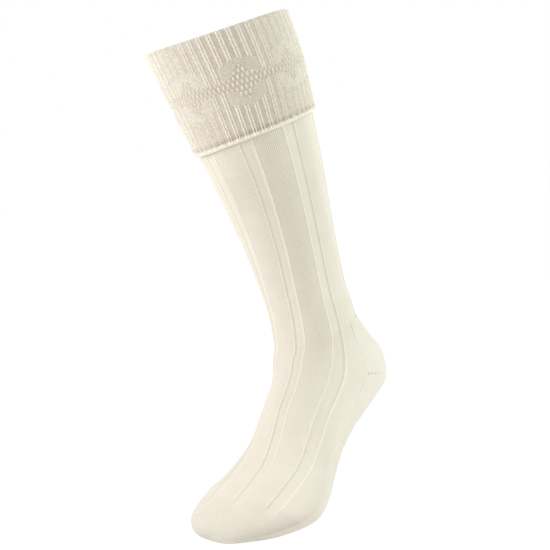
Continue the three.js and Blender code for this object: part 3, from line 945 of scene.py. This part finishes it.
@dataclass
class KnittedPart:
    """What the pieces of the sock share: the form, the stitches and the thickness of the wall."""

    form: SockForm
    layout: KnitLayout
    finish: KnitFinish
    wall: float = 2.2 * MM
    inner_ripple: float = 0.1 * MM
    # Painted shade on the inner face of the leg, foot and toe.
    inner_shade: float = 0.1

    def wale_of(self, grid: Grid, first: float) -> np.ndarray:
        """Wales of a grid's vertices, counted from the first column's and kept within one turn."""
        wale = first + grid.column / self.layout.columns_per_wale
        return np.where(wale > -self.form.back_wale, wale - self.form.wales, wale)

    def inner_face(self, wale: np.ndarray) -> np.ndarray:
        """Relief of the inner face: one wall down, with a faint ripple for each wale."""
        return -self.wall + self.inner_ripple * np.cos(2 * math.pi * wale)

    def evened(self, crisp: np.ndarray, station: np.ndarray, wale: np.ndarray) -> np.ndarray:
        """Makes the grooves shallower where the wales are drawn together.

        Args:
            crisp: crispness of the grooves.
            station: station of each vertex.
            wale: wale of each vertex.

        Returns:
            The crispness, less where the wales lie closer than usual.
        """
        before, after = (
            self.form.face(station, self.form.wale_degrees(station, wale + half)) for half in (-0.5, 0.5)
        )
        pitch = np.linalg.norm(after - before, axis=1)
        return crisp * np.clip(pitch / self.form.usual_pitch, 0, 1) ** 2

    def laid(self, station: np.ndarray, wale: np.ndarray, relief: np.ndarray) -> np.ndarray:
        """Points of a wall over the form.

        Args:
            station: station of each vertex.
            wale: wale of each vertex.
            relief: height of each vertex over the form's face.

        Returns:
            The points, in metres.
        """
        degrees = self.form.wale_degrees(np.minimum(station, self.form.end_station), wale)
        out = self.form.outward(station, degrees)
        return self.form.face(station, degrees) + out * relief[:, None]

    def charted(
        self, grid: Grid, across: np.ndarray, station: np.ndarray, span: tuple[float, float],
        degrees: float = 0, closed: bool = True,
    ) -> float:
        """Lays the piece's map, with its courses counted along one line of the form.

        Args:
            grid: the piece.
            across: place across the map of each vertex.
            station: station of each vertex.
            span: first and last station of the piece.
            degrees: angle of the line.
            closed: whether the columns close on themselves.

        Returns:
            The courses over the map.
        """
        stations, counted = self.form.courses_along(*span, degrees, self.layout.course)
        Bench.chart(grid, across, np.interp(station, stations, counted) / counted[-1], closed)
        return float(counted[-1])


@dataclass
class LegTube(KnittedPart):
    """Leg: a ribbed tube from under the cuff's roll to the ankle."""

    inner_ripple: float = 0.15 * MM
    top_depth: float = 2.9 * MM
    outer_rows: int = 64
    inner_rows: int = 14
    sag_reach: float = 0.8

    def build(self) -> bpy.types.Object:
        """Knits the tube."""
        form, layout = self.form, self.layout
        rows = self.outer_rows + self.inner_rows
        grid = Bench.ring("leg_tube", form.wales * layout.columns_per_wale, rows)
        top = float(form.station_at_depth(np.array(self.top_depth)))
        down = np.linspace(top, form.ankle_station, self.outer_rows)
        up = np.linspace(form.ankle_station, top, self.inner_rows)
        station = np.concatenate((down, up))[grid.row]
        outer = grid.row < self.outer_rows
        wale = self.wale_of(grid, form.back_wale)
        crisp = layout.crispness(station, form)
        relief = np.where(outer, layout.panel_relief(wale, crisp, form), self.inner_face(wale))
        points = self.laid(station, wale, relief)
        depth = -form.along(station, form.FRONT_Z)
        sag = form.sag(form.wale_degrees(station, wale), depth)
        points[:, 2] -= sag * np.clip(1 - depth / (self.sag_reach * form.cuff_depth), 0, 1)
        Bench.move(grid.mesh, points)
        courses = self.charted(grid, wale / form.wales + 0.5, station, (top, form.ankle_station))
        purl = layout.purl_share(wale, form)
        # Painted shade of the grooves and strips on the outer face, and a flat painted shade on the inner
        # face.
        painted_shade = layout.painted_shade(wale, purl, crisp, np.ones(len(wale)), form)
        Bench.tag(grid, PURL_TAG, np.where(outer, purl, 1 - purl))
        Bench.tag(grid, PAINTED_SHADE_TAG, np.where(outer, painted_shade, self.inner_shade))
        return Bench.finish(grid, "leg", self.finish, courses, form.wales)


@dataclass
class HeelPocket(KnittedPart):
    """Heel: a plain pocket over the sole's half of the wales, with the gore line of its turning.

    The gore's place and width and the eyelets' reach are in stations, the eyelets' spacing and size in
    wales. Each eyelet nearer the back is shallower by the share eyelet_fade.
    """

    upper_rows: int = 38
    lower_rows: int = 19
    gore_rows: tuple[float, ...] = (0.008, 0.02, 0.035, 0.06)
    gore_after: float = 2.9
    gore_width: float = 0.022
    gore_depth: float = 0.35 * MM
    gore_shade: float = 0.15
    eyelets: int = 5
    eyelet_wales: float = 2.5
    eyelet_size: float = 0.5
    eyelet_floor: float = 0.3
    eyelet_reach: float = 0.05
    eyelet_fade: float = 0.12
    eyelet_depth: float = 0.9 * MM
    eyelet_shade: float = 0.9

    @property
    def gore_station(self) -> float:
        """Station of the gore line."""
        return self.form.ankle_station + self.gore_after

    def stations(self) -> np.ndarray:
        """Rows of the heel, closer together at the gore line."""
        steps = np.array(self.gore_rows)
        near = self.gore_station + np.concatenate((-steps[::-1], steps))
        above = np.linspace(self.form.ankle_station, near[0], self.upper_rows, endpoint=False)
        below = np.linspace(near[-1], self.form.heel_end_station, self.lower_rows)
        return np.concatenate((above, near, below[1:]))

    def pits(self, station: np.ndarray, wale: np.ndarray) -> np.ndarray:
        """Depth of the eyelets beside the gore line, 1 being the whole of it.

        Args:
            station: station of each vertex.
            wale: wale of each vertex.

        Returns:
            A share for each vertex.
        """
        aside = np.abs(wale) - self.form.side_wale
        nearest = np.clip(np.rint(aside / self.eyelet_wales), 1, self.eyelets)
        across = np.abs(aside - nearest * self.eyelet_wales)
        near = np.abs(station - self.gore_station) < self.eyelet_reach
        pit = np.clip(1 + self.eyelet_floor - across / self.eyelet_size, 0, 1)
        return pit * near * (1 - self.eyelet_fade * nearest)

    def build(self) -> bpy.types.Object:
        """Knits the pocket."""
        form, layout = self.form, self.layout
        rows = self.stations()
        across = int(form.wales / 2 * layout.columns_per_wale)
        grid = Bench.sheet("heel_pocket", across, len(rows) - 1)
        Bench.write_tags(grid)
        flat = np.zeros(len(grid.row))
        Bench.move(grid.mesh, self.laid(rows[grid.row], self.wale_of(grid, form.side_wale), flat))
        Bench.thicken(grid, self.wall)
        inner = np.arange(len(grid.row)) >= len(grid.row) // 2
        station = rows[grid.row]
        wale = self.wale_of(grid, form.side_wale)
        crisp = layout.crispness(station, form)
        gore = bell(station - self.gore_station, self.gore_width)
        pit = self.pits(station, wale)
        relief = layout.wale_relief(wale, crisp) - self.gore_depth * gore - self.eyelet_depth * pit
        Bench.move(grid.mesh, self.laid(station, wale, np.where(inner, self.inner_face(wale), relief)))
        span = (form.ankle_station, form.heel_end_station)
        courses = self.charted(grid, grid.column / across, station, span, 180, closed=False)
        none = np.zeros(len(wale))
        # Painted shade: dark eyelets, a darker gore line and the shade of the grooves; none on the inner
        # face.
        plain = layout.painted_shade(wale, none, crisp, none, form)
        painted_shade = np.maximum.reduce((self.eyelet_shade * pit, plain, self.gore_shade * gore))
        Bench.tag(grid, PURL_TAG, inner.astype(float))
        Bench.tag(grid, PAINTED_SHADE_TAG, painted_shade * ~inner)
        return Bench.finish(grid, "heel", self.finish, courses, form.wales / 2)


@dataclass
class FootTube(KnittedPart):
    """Foot: the ribbed instep beside the heel, then the whole tube with a plain sole up to the toe."""

    instep_rows: int = 26
    tube_rows: int = 40
    beside_rows: int = 14
    side_groove: float = 0.12 * MM
    side_width: float = 0.35
    side_shade: float = 0.12
    window_slack: float = 0.01

    def place(self, row: np.ndarray, wale: np.ndarray) -> np.ndarray:
        """Stations of the rows, the last of which follow the slant of the toe cap."""
        form = self.form
        beyond = np.clip((row - self.instep_rows) / self.tube_rows, 0, 1)
        before = form.ankle_station + form.heel_length * row / self.instep_rows
        after = form.heel_end_station + (form.toe_station - form.heel_end_station) * beyond
        station = np.where(row <= self.instep_rows, before, after)
        return station + beyond * form.toe_slant(form.wale_degrees(station, wale))

    def build(self) -> bpy.types.Object:
        """Knits the foot."""
        form, layout = self.form, self.layout
        across = form.wales * layout.columns_per_wale
        grid = Bench.sheet("foot_tube", across, self.instep_rows + self.tube_rows)
        wale = self.wale_of(grid, form.back_wale)
        Bench.move(grid.mesh, self.laid(self.place(grid.row, wale), wale, np.zeros(len(wale))))
        Bench.join(grid, (grid.column == 0) | (grid.column == grid.columns))
        self.cut_heel_window(grid)
        Bench.thicken(grid, self.wall)
        inner = np.arange(len(grid.row)) >= len(grid.row) // 2
        wale = self.wale_of(grid, form.back_wale)
        station = self.place(grid.row, wale)
        sole = np.clip(np.abs(wale) - form.side_wale + 1, 0, 1)
        crisp = self.evened(layout.crispness(station, form), station, wale)
        ribs = layout.panel_relief(wale, crisp, form)
        beside = bell(np.abs(wale) - form.side_wale, self.side_width)
        beside *= np.clip(1 - (grid.row - self.instep_rows) / self.beside_rows, 0, 1)
        relief = ribs + (layout.wale_relief(wale, crisp) - ribs) * sole
        relief -= self.side_groove * beside * (grid.row > 0)
        Bench.move(grid.mesh, self.laid(station, wale, np.where(inner, self.inner_face(wale), relief)))
        courses = self.charted(grid, grid.column / across, station, (form.ankle_station, form.toe_station))
        purl = layout.purl_share(wale, form) * (1 - sole)
        # Painted shade of the grooves and strips, and along the side groove where the instep meets the
        # sole; a flat painted shade on the inner face.
        painted_shade = np.maximum(layout.painted_shade(wale, purl, crisp, 1 - sole, form), self.side_shade * beside)
        Bench.tag(grid, PURL_TAG, np.where(inner, 1 - purl, purl))
        Bench.tag(grid, PAINTED_SHADE_TAG, np.where(inner, self.inner_shade, painted_shade))
        return Bench.finish(grid, "foot", self.finish, courses, form.wales)

    def cut_heel_window(self, grid: Grid) -> None:
        """Cuts out the half that the heel pocket fills."""
        corners = Bench.corners(grid.mesh).reshape(-1, 4)
        wale = np.abs(self.wale_of(grid, self.form.back_wale))[corners].min(axis=1)
        row = grid.row[corners].max(axis=1)
        window = (wale > self.form.side_wale - self.window_slack) & (row <= self.instep_rows)
        Bench.cut_faces(grid, window)


@dataclass
class ToeCap(KnittedPart):
    """Toe: a plain cap that closes the foot."""

    outer_rows: int = 44
    inner_rows: int = 12
    inner_reach: float = 0.7
    rib_reach: float = 0.12
    row_power: float = 1.15
    groove_reach: float = 6

    def build(self) -> bpy.types.Object:
        """Knits the cap."""
        form, layout = self.form, self.layout
        columns = form.wales * layout.columns_per_wale
        rows = self.outer_rows + self.inner_rows
        grid = Bench.ball("toe_cap", columns, rows)
        toward_seam = np.linspace(1, 0, self.outer_rows) ** self.row_power
        back_to_tip = np.linspace(0, self.inner_reach, self.inner_rows)
        share = np.concatenate((toward_seam, back_to_tip))[grid.row]
        outer = grid.row < self.outer_rows
        wale = self.wale_of(grid, form.back_wale)
        toe = form.toe_station
        slant = form.toe_slant(form.wale_degrees(np.full(len(wale), toe), wale))
        station = toe + (form.end_station - toe) * share + slant * (1 - share)
        crisp = layout.crispness(station, form) * np.clip((1 - share) * self.groove_reach, 0, 1)
        crisp = self.evened(crisp, station, wale)
        fine = layout.wale_relief(wale, crisp)
        ribbed = np.clip(1 - share / self.rib_reach, 0, 1) * (np.abs(wale) < form.side_wale - 1)
        ribs = layout.panel_relief(wale, crisp, form)
        relief = np.where(outer, fine + (ribs - fine) * ribbed, -self.wall)
        points = self.laid(station, wale, relief)
        for pole, ring in ((0, 1), (rows - 1, rows - 2)):
            points[grid.row == pole] = points[grid.row == ring].mean(axis=0)
        Bench.move(grid.mesh, points)
        courses = self.charted(grid, grid.column / columns, station, (toe, form.end_station))
        purl = layout.purl_share(wale, form) * ribbed
        # Painted shade of the grooves and of the strips' ends; a flat painted shade on the inner face.
        painted_shade = layout.painted_shade(wale, purl, crisp, ribbed, form)
        Bench.tag(grid, PURL_TAG, np.where(outer, purl, 1.0))
        Bench.tag(grid, PAINTED_SHADE_TAG, np.where(outer, painted_shade, self.inner_shade))
        return Bench.finish(grid, "toe", self.finish, courses, form.wales)


@dataclass
class TurnoverCuff(KnittedPart):
    """Cuff: two-and-two rib turned down over the leg, with a band of moss-stitch diamonds.

    Angles of the roll are in degrees round it, from the outer face over the top. ground_depth and
    moss_depth are shares of rib_relief.
    """

    thickness: float = 2.6 * MM
    hem_lift: float = 5 * MM
    hem_flare: float = 0.5 * MM
    clearance: float = 0.3 * MM
    turn: float = -5.5
    unit_wales: float = 4
    courses: int = 57
    roll_courses: int = 8
    roll_rows: int = 12
    roll_start: float = 8
    roll_end: float = 172
    roll_plain: float = 60
    skirt_rows: int = 8
    skirt_reach: float = 0.992
    rib_relief: float = 0.95 * MM
    rib_bump: float = 0.05 * MM
    knit_middle: float = 0.55
    purl_middle: float = 1.5
    middle_width: float = 0.2
    purl_start: float = 0.85
    purl_slope: float = 0.3
    purl_bump: float = 0.26 * MM
    ground_wales: float = 8
    ground_height: float = 42 * MM
    ground_slope: float = 5 * MM
    ground_slack: float = 0.06
    ground_depth: float = 0.78
    diamond_wales: float = 7
    diamond_courses: float = 10
    bar_courses: float = 3
    moss_raise: float = 1.25 * MM
    moss_depth: float = 1.2
    moss_courses: float = 3
    dash_slope: float = 2.6
    dash_fill: float = 0.3
    dash_fill_reach: float = 0.95
    dash_gap: float = 0.055
    hem_courses: float = 0.8
    bead: float = 0.7 * MM
    bead_floor: float = 0.6
    bead_swing: float = 0.9
    pocket_after: float = 1.5
    pocket_courses: float = 1.2
    pocket_depth: float = 0.6 * MM
    edge_off: float = 0.6
    edge_drop: float = 1.1 * MM
    edge_relief: float = 0.8
    moss_purl: float = 0.5
    inner_purl: float = 0.5
    sunk_shade: float = 0.48
    sunk_limit: float = 1.5

    OFFSETS = np.array((-1.05, -0.8, -0.55, -0.3, 0, 0.3, 0.55, 0.8, 1.05, 1.5, 2.0, 2.5))
    CREST_WALES = (0, 0.3, 0.55, 0.8, 1.05, 1.5, 2)
    CREST_HEIGHTS = (-1.05, -0.6, 0, -0.6, -1, -1, -1)
    GAP_WALES = (0, 1.05, 2)

    def stitch_at(self, wale: np.ndarray, course: np.ndarray) -> np.ndarray:
        """Which stitch is worked where.

        Args:
            wale: wale from the middle of a diamond.
            course: course from the rim.

        Returns:
            A Stitch for each vertex: KNIT stands for the ribs of the two-and-two rib, PURL for the plain
            sunk ground and MOSS for the textured diamonds and the bar between them.
        """
        repeat = self.form.repeat_wales
        across = np.abs(np.mod(wale + repeat / 2, repeat) - repeat / 2)
        from_middle = np.abs(course - self.courses / 2)
        height = self.form.cuff_depth / self.courses
        ground = (self.ground_height / 2 - self.ground_slope * across / self.ground_wales) / height
        chart = np.full(wale.shape, Stitch.KNIT, dtype=object)
        chart[(across <= self.ground_wales + self.ground_slack) & (from_middle < ground)] = Stitch.PURL
        diamond = across / self.diamond_wales + from_middle / self.diamond_courses < 1
        chart[diamond | (from_middle < self.bar_courses)] = Stitch.MOSS
        return chart

    def dashes(self, wale: np.ndarray, course: np.ndarray, from_pair: np.ndarray) -> np.ndarray:
        """Short strokes of the moss stitch, in turn on every other wale.

        Args:
            wale: wale from the middle of a diamond.
            course: course from the rim.
            from_pair: wales from the middle of the nearest pair of ribs.

        Returns:
            Height of the strokes, between 0 and 1, for each vertex.
        """
        long = self.moss_courses
        turns = np.mod(np.floor(wale) + np.floor(course / long), 2) < 0.5
        stroke = np.clip(self.dash_slope * np.sin(math.pi * np.mod(course, long) / long), 0, 1)
        filled = self.dash_fill * (from_pair < self.dash_fill_reach)
        stroke *= np.clip(self.middles(from_pair) + filled, 0, 1)
        gap = np.abs(from_pair[:, None] - self.GAP_WALES).min(axis=1) < self.dash_gap
        return np.where(turns & ~gap, stroke, 0)

    def middles(self, from_pair: np.ndarray) -> np.ndarray:
        """1 along the middle of each wale, fading to 0 beside it."""
        knit = bell(from_pair - self.knit_middle, self.middle_width)
        return knit + bell(from_pair - self.purl_middle, self.middle_width)

    def relief_at(self, wale: np.ndarray, course: np.ndarray) -> tuple[np.ndarray, np.ndarray]:
        """Relief of the outer face.

        Args:
            wale: wale from the middle of a diamond.
            course: course from the rim.

        Returns:
            Height over the crests of the ribs, and the share of purl, for each vertex.
        """
        from_pair = np.abs(np.mod(wale, self.unit_wales) - self.unit_wales / 2)
        crest = np.interp(from_pair, self.CREST_WALES, self.CREST_HEIGHTS)
        purl_zone = np.clip((from_pair - self.purl_start) / self.purl_slope, 0, 1)
        beat = np.cos(2 * math.pi * course)
        bumps = self.purl_bump * beat * np.where(self.middles(from_pair) > 0.5, -1, 1)
        rib = self.rib_relief * crest + bumps * purl_zone + self.rib_bump * beat * (1 - purl_zone)
        ground = bumps - self.ground_depth * self.rib_relief
        moss = self.moss_raise * self.dashes(wale, course, from_pair) - self.moss_depth * self.rib_relief
        chart = self.stitch_at(wale, course)
        worked = (chart == Stitch.MOSS, chart == Stitch.PURL)
        relief = np.select(worked, (moss, ground), rib)
        purl = np.select(worked, (self.moss_purl, 1.0), purl_zone)
        from_hem = self.courses - course - self.hem_courses
        band = np.clip(1 - from_hem, 0, 1)
        beads = self.bead * (self.bead_floor + self.bead_swing * crest)
        pocket = bell(from_hem - self.pocket_after, self.pocket_courses) * np.clip(-crest, 0, 1)
        relief = (relief - self.pocket_depth * pocket) * (1 - band) + beads * band
        return relief, purl * (1 - band)

    def section(self) -> np.ndarray:
        """Rows of the cuff's section.

        Returns:
            For each row its distance off the leg's face, its depth below the rim, the course that it
            lies on, and how much of the relief it takes.
        """
        rim = self.clearance + self.thickness
        cuff_depth = self.form.cuff_depth
        lines = []
        for half in range(2 * self.courses, 2, -1):
            course = half / 2
            lines.append((
                rim + self.hem_flare * course / self.courses, cuff_depth * course / self.courses, course, 1,
            ))
        middle, half_roll = (rim - self.wall) / 2, (rim + self.wall) / 2
        for degrees in np.linspace(self.roll_start, self.roll_end, self.roll_rows):
            angle = math.radians(degrees)
            share = 1 - max(0.0, (degrees - self.roll_plain) / (self.roll_end - self.roll_plain))
            course = -angle * half_roll / cuff_depth * self.courses
            depth = self.thickness * (1 - math.sin(angle))
            lines.append((middle + half_roll * math.cos(angle), depth, course, share))
        lines.append((-self.wall, self.thickness, 0, 0))
        lines.append((self.clearance, self.thickness, 0, 0))
        for step in range(1, self.skirt_rows + 1):
            share = step / self.skirt_rows
            depth = cuff_depth * min(share, self.skirt_reach)
            lines.append((self.clearance + self.hem_flare * share, depth, self.courses * share, 0))
        lines.append((self.edge_off * rim, cuff_depth + self.edge_drop, self.courses, self.edge_relief))
        return np.array(lines)

    def build(self) -> bpy.types.Object:
        """Knits the cuff."""
        form = self.form
        per_unit = len(self.OFFSETS)
        rows = self.section()
        grid = Bench.ring("turnover_cuff_knit", int(form.wales / self.unit_wales) * per_unit, len(rows))
        unit, step = np.divmod(grid.column, per_unit)
        wale = self.unit_wales * (unit + 0.5) + self.OFFSETS[step]
        degrees = self.turn + wale * 360 / form.wales
        off, row_depth, course, share = rows[grid.row].T
        lift = self.hem_lift * (1 - np.cos(np.radians(degrees))) / 2
        depth = row_depth * (1 - lift / form.cuff_depth)
        station = form.station_at_depth(depth)
        out = form.outward(station, degrees)
        out[:, 2] = 0
        out /= np.linalg.norm(out, axis=1, keepdims=True)
        relief, purl = self.relief_at(wale, course)
        points = form.face(station, degrees) + out * (off + relief * share)[:, None]
        points[:, 2] -= form.sag(degrees, depth)
        Bench.move(grid.mesh, points)
        total = float(self.courses + self.roll_courses)
        Bench.chart(grid, np.mod(wale / form.wales, 1), (course + self.roll_courses) / total, True)
        # Painted shade: the deeper the relief lies below the ribs' crests, the darker the colour.
        sunk = np.clip(-relief * share / self.rib_relief, 0, self.sunk_limit)
        Bench.tag(grid, PURL_TAG, np.where(share > 0, purl, self.inner_purl))
        Bench.tag(grid, PAINTED_SHADE_TAG, self.sunk_shade * sunk)
        return Bench.finish(grid, "turnover_cuff", self.finish, total, form.wales)


@dataclass(frozen=True)
class SoftLight:
    """Square light that faces the object: its place as the camera sees it, in metres, and its watts."""

    name: str
    to_right: float
    above: float
    forward: float
    size: float
    power: float
    colour: tuple[float, float, float]


LIGHTS = (
    SoftLight("left light", -0.62, 0.36, 0.2, 0.4, 2.4, (0.92, 0.97, 1.0)),
    SoftLight("right light", 0.75, 0.15, -0.06, 0.4, 2.1, (0.79, 1.0, 0.93)),
    SoftLight("low light", 0.1, -0.55, 0.7, 0.6, 0.5, (1.0, 0.98, 0.95)),
)


@dataclass
class Studio:
    """Pale floor, soft lights and the camera at the picture's angle."""

    azimuth: float = 33.81
    elevation: float = 9.19
    roll: float = 18.74
    look_at: tuple[float, float, float] = (2.1 * MM, -21.4 * MM, -197.5 * MM)
    distance: float = 895.6 * MM
    focal_pixels: float = 1024.8
    centre: tuple[float, float] = (278.83, 253.85)
    floor_level: float = -0.75
    floor_size: float = 30
    floor_grey: float = 0.62
    floor_roughness: float = 0.9
    floor_glow: float = 0.4
    white: float = 1.0
    dim: float = 0.75
    facing_span: tuple[float, float] = (0.1, 0.85)
    overhead: float = 0.09
    overhead_span: tuple[float, float] = (0.1, 0.9)
    lights: tuple[SoftLight, ...] = LIGHTS

    def axes(self) -> tuple[Vector, Vector, Vector]:
        """Right, up and back directions of the camera."""
        azimuth, elevation, roll = (math.radians(a) for a in (self.azimuth, self.elevation, self.roll))
        right = Vector((math.cos(azimuth), math.sin(azimuth), 0))
        back = Vector((
            math.sin(azimuth) * math.cos(elevation),
            -math.cos(azimuth) * math.cos(elevation),
            math.sin(elevation),
        ))
        up = back.cross(right)
        c, s = math.cos(roll), math.sin(roll)
        return right * c - up * s, right * s + up * c, back

    def camera(self) -> bpy.types.Object:
        """Sets the camera up."""
        right, up, back = self.axes()
        data = bpy.data.cameras.new("camera")
        data.sensor_width = SENSOR
        data.lens = self.focal_pixels / PHOTO_WIDTH * SENSOR
        data.shift_x = -(self.centre[0] - PHOTO_WIDTH / 2) / PHOTO_WIDTH
        data.shift_y = (self.centre[1] - PHOTO_WIDTH / 2) / PHOTO_WIDTH
        data.clip_start = 10 * MM
        camera = bpy.data.objects.new("camera", data)
        bpy.context.scene.collection.objects.link(camera)
        place = Vector(self.look_at) + back * self.distance
        turn = Matrix((right, up, back)).transposed()
        camera.matrix_world = Matrix.Translation(place) @ turn.to_4x4()
        bpy.context.scene.camera = camera
        return camera

    def hang(self, light: SoftLight) -> bpy.types.Object:
        """Hangs a soft light and points it at the object's middle."""
        back = self.axes()[2]
        flat_back = Vector((back.x, back.y, 0)).normalized()
        flat_right = Vector((-flat_back.y, flat_back.x, 0))
        data = bpy.data.lights.new(light.name, "AREA")
        data.shape = "SQUARE"
        data.size = light.size
        data.energy = light.power
        data.color = light.colour
        lamp = bpy.data.objects.new(light.name, data)
        bpy.context.scene.collection.objects.link(lamp)
        middle = Vector(self.look_at)
        up = Vector((0, 0, light.above))
        lamp.location = middle + flat_right * light.to_right + flat_back * light.forward + up
        lamp.rotation_euler = (middle - lamp.location).to_track_quat("-Z", "Y").to_euler()
        return lamp

    def floor(self) -> bpy.types.Object:
        """Lays the plain pale floor."""
        Bench.clear_selection()
        bpy.ops.mesh.primitive_plane_add(size=self.floor_size, location=(0, 0, self.floor_level))
        floor = Bench.added("floor")
        material = bpy.data.materials.new("pale floor")
        material.use_nodes = True
        shader = material.node_tree.nodes["Principled BSDF"]
        shader.inputs["Base Color"].default_value = (*[self.floor_grey] * 3, 1)
        shader.inputs["Roughness"].default_value = self.floor_roughness
        shader.inputs["Emission Color"].default_value = (1, 1, 1, 1)
        shader.inputs["Emission Strength"].default_value = self.floor_glow
        floor.data.materials.append(material)
        return floor

    def surround(self) -> None:
        """Surrounds the object with white, dimmer before and behind it and brighter overhead."""
        world = bpy.data.worlds.new("studio")
        bpy.context.scene.world = world
        world.use_nodes = True
        bench = NodeBench(world.node_tree)
        output = bench.node("ShaderNodeOutputWorld")
        background = bench.node("ShaderNodeBackground")
        background.inputs["Color"].default_value = (1, 1, 1, 1)
        bench.join(background.outputs["Background"], output.inputs["Surface"])
        direction = bench.node("ShaderNodeTexCoord").outputs["Generated"]
        facing = bench.node("ShaderNodeVectorMath")
        facing.operation = "DOT_PRODUCT"
        bench.join(direction, facing.inputs[0])
        facing.inputs[1].default_value = self.axes()[2]
        ahead = bench.maths("ABSOLUTE", facing.outputs["Value"])
        level = bench.remap(ahead, self.facing_span, (self.white, self.dim))
        above = bench.remap(bench.split(direction)["Z"], self.overhead_span, (0, self.overhead))
        seen = bench.node("ShaderNodeLightPath").outputs["Is Camera Ray"]
        strength = bench.blend(seen, bench.maths("ADD", level, above), 1.0)
        bench.join(strength, background.inputs["Strength"])

    def build(self) -> None:
        """Sets the whole studio."""
        self.camera()
        self.floor()
        self.surround()
        for light in self.lights:
            self.hang(light)
        scene = bpy.context.scene
        scene.view_settings.view_transform = "Standard"
        scene.view_settings.look = "None"


# Painted shade: the gap colours darken the gaps between stitches. The loop colours differ from piece to
# piece to even out how bright the pieces come out under the lights and their painted shade, so they are
# partly painted light.
GAP_SHADE_COLOUR = (0.41, 0.35, 0.26)
SMOOTH_STITCH = 0.08 * MM
CUFF_WOOL = KnitFinish("cuff wool", "cuff_knit", (0.99, 0.94, 0.83), (0.42, 0.34, 0.25), grain=0.35)
LEG_WOOL = KnitFinish("leg wool", "leg_knit", (0.96, 0.905, 0.79), GAP_SHADE_COLOUR, contrast=0.34)
HEEL_WOOL = KnitFinish(
    "heel wool", "heel_knit", (0.895, 0.85, 0.745), GAP_SHADE_COLOUR, stitch_depth=SMOOTH_STITCH, contrast=0.12
)
FOOT_WOOL = KnitFinish(
    "foot wool", "foot_knit", (0.90, 0.84, 0.735), GAP_SHADE_COLOUR, stitch_depth=SMOOTH_STITCH, contrast=0.14
)
TOE_WOOL = KnitFinish(
    "toe wool", "toe_knit", (0.88, 0.825, 0.72), GAP_SHADE_COLOUR, stitch_depth=0.12 * MM, contrast=0.2
)


def main() -> None:
    """Builds the sock piece by piece, then its studio."""
    logging.basicConfig(level=logging.INFO, format="%(name)s: %(message)s")
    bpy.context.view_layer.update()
    form, layout = SockForm(), KnitLayout()
    for part in (
        TurnoverCuff(form, layout, CUFF_WOOL),
        LegTube(form, layout, LEG_WOOL),
        HeelPocket(form, layout, HEEL_WOOL),
        FootTube(form, layout, FOOT_WOOL),
        ToeCap(form, layout, TOE_WOOL),
    ):
        piece = part.build()
        LOG.info("%s: %d vertices of %s", piece.name, len(piece.data.vertices), part.finish.name)
    Studio().build()
    LOG.info("studio: camera, floor and soft lights")


if __name__ == "__main__":
    main()
